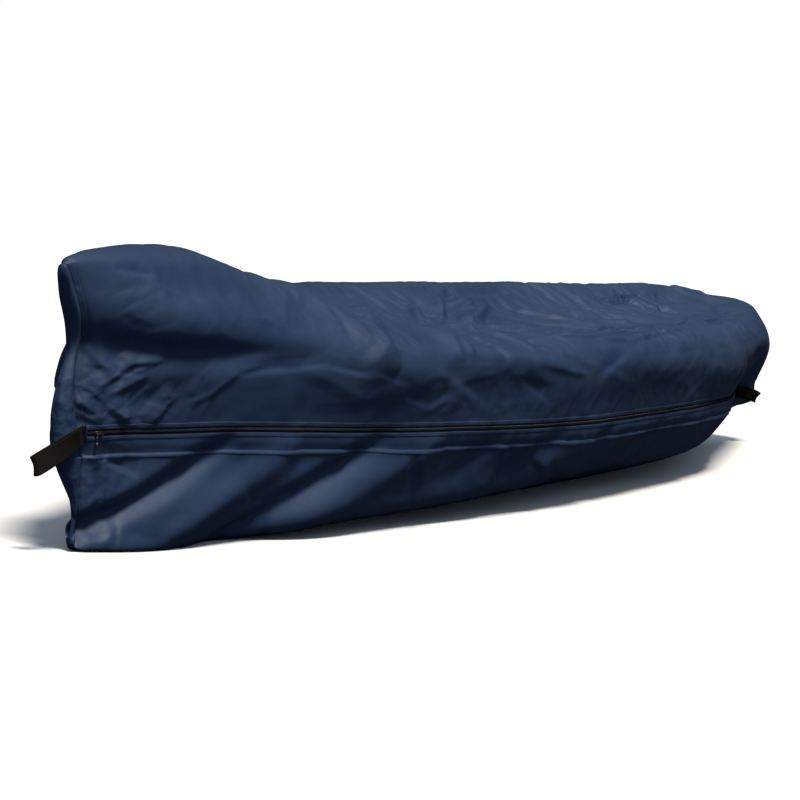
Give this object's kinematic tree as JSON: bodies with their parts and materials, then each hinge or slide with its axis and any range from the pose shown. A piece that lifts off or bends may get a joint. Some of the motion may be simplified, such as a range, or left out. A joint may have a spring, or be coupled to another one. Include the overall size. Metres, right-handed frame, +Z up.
{
  "type": "boat cover",
  "caption": "Zipped storage cover for a canoe or kayak, closed, with a full-length side zip and a webbing pull loop at each end.",
  "frame": {"origin": "centre of the bounding box's base, on the ground", "axes": "+X along the cover, from the slack end with the zip slider to the filled end; -Y the side with the zip; +Z up"},
  "size_m": [5.0875, 0.8923, 0.6164],
  "materials": {
    "cloth": "coated woven cloth, satin",
    "zip": "coil zip on woven tape",
    "slider": "dark plated",
    "webbing": "woven, matt"
  },
  "bodies": {
    "root": {"upper_panel": "cloth", "lower_panel": "cloth", "zip_placket": "cloth", "slack_end_panel": "cloth", "filled_end_panel": "cloth", "zip": "zip", "zip_slider": "slider", "zip_pull": "slider", "slack_end_strap": "webbing", "filled_end_strap": "webbing"}
  },
  "joints": []
}
